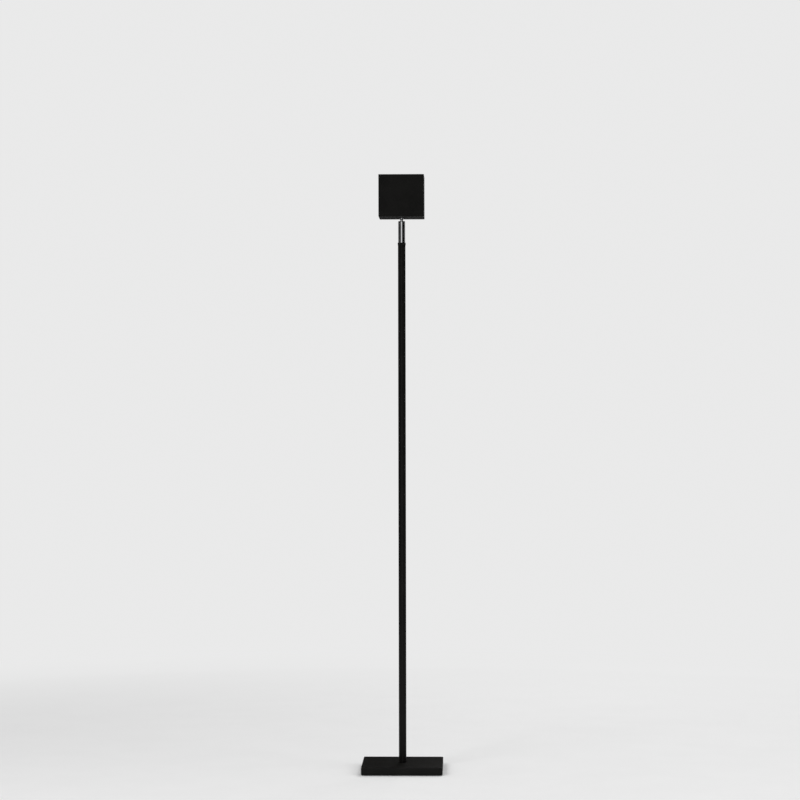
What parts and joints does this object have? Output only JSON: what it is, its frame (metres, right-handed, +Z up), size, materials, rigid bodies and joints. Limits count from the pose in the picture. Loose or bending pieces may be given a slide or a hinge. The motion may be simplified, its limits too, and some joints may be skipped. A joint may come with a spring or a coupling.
{
  "type": "projector floor lamp",
  "caption": "Sunset projection floor lamp: square weighted base, slim black pole, chromed slotted ball joint on a swivel, and a box-shaped projector head with a round lens.",
  "frame": {"origin": "on the floor, under the middle of the pole and of the base", "axes": "+Z up along the pole, +Y the way the beam leaves at rest, +X to the right when looking along the beam"},
  "size_m": [0.214, 0.214, 1.5799],
  "materials": {
    "black_paint": "satin",
    "black_cast": "satin",
    "black_anodised": "matte",
    "black_steel": "matte",
    "chrome": "polished",
    "zinc_steel": "satin",
    "brass": "satin",
    "cast_iron": "matte",
    "spring_steel": "satin",
    "rubber": "matte",
    "black_plastic": "matte",
    "white_plastic": "satin",
    "aluminium": "satin",
    "clear_glass": "polished",
    "orange_glass": "polished",
    "heat_pad": "matte",
    "phosphor": "satin",
    "circuit_board": "satin",
    "cable": "satin",
    "red_lead": "satin"
  },
  "bodies": {
    "stand": {"base_cover": "black_paint", "base_weight": "cast_iron", "bottom_plate": "black_steel", "bottom_plate_screws": "zinc_steel", "feet": "rubber", "socket_body": "black_plastic", "socket_pin": "zinc_steel", "foot_nipple": "zinc_steel", "foot_washer": "zinc_steel", "foot_nut": "brass", "foot_plug": "zinc_steel", "lower_tube": "black_paint", "middle_tube": "black_paint", "upper_tube": "black_paint", "lower_joiner": "zinc_steel", "upper_joiner": "zinc_steel", "lower_joiner_nut": "brass", "upper_joiner_nut": "brass", "pole_cap": "black_paint", "pan_nipple": "zinc_steel", "slip_washer": "black_plastic", "friction_washer": "black_plastic", "pan_nut": "brass", "stop_pin": "zinc_steel", "supply_cable": "cable"},
    "swivel": {"swivel_plug": "black_paint", "joint_body": "chrome", "joint_spring": "spring_steel", "ball_seat": "white_plastic"},
    "head": {"ball_stem": "chrome", "stem_collar": "chrome", "stem_washer": "zinc_steel", "stem_nut": "brass", "stem_grommet": "rubber", "housing": "black_cast", "front_plate": "black_cast", "front_plate_screws": "black_steel", "lens_barrel": "black_anodised", "barrel_screws": "zinc_steel", "front_lens": "clear_glass", "lens_retainer": "black_anodised", "condenser_lens": "clear_glass", "condenser_ring": "black_anodised", "heat_sink": "aluminium", "heat_sink_screws": "zinc_steel", "heat_pad": "heat_pad", "emitter_board": "aluminium", "emitter": "phosphor", "reflector_holder": "white_plastic", "holder_screws": "zinc_steel", "filter_disc": "orange_glass", "filter_ring": "black_plastic", "driver_board": "circuit_board", "driver_parts": "black_plastic", "driver_screws": "zinc_steel", "head_cable": "cable", "emitter_lead": "red_lead"}
  },
  "joints": [
    {"name": "pan", "type": "hinge", "parent": "stand", "child": "swivel", "pos_m": [0, 0, 1.402], "axis": [0, 0, 1], "range_deg": [-165, 165]},
    {"name": "tilt", "type": "hinge", "parent": "swivel", "child": "head", "pos_m": [0, 0, 1.4509], "axis": [-1, 0, 0], "range_deg": [-15, 90]}
  ]
}
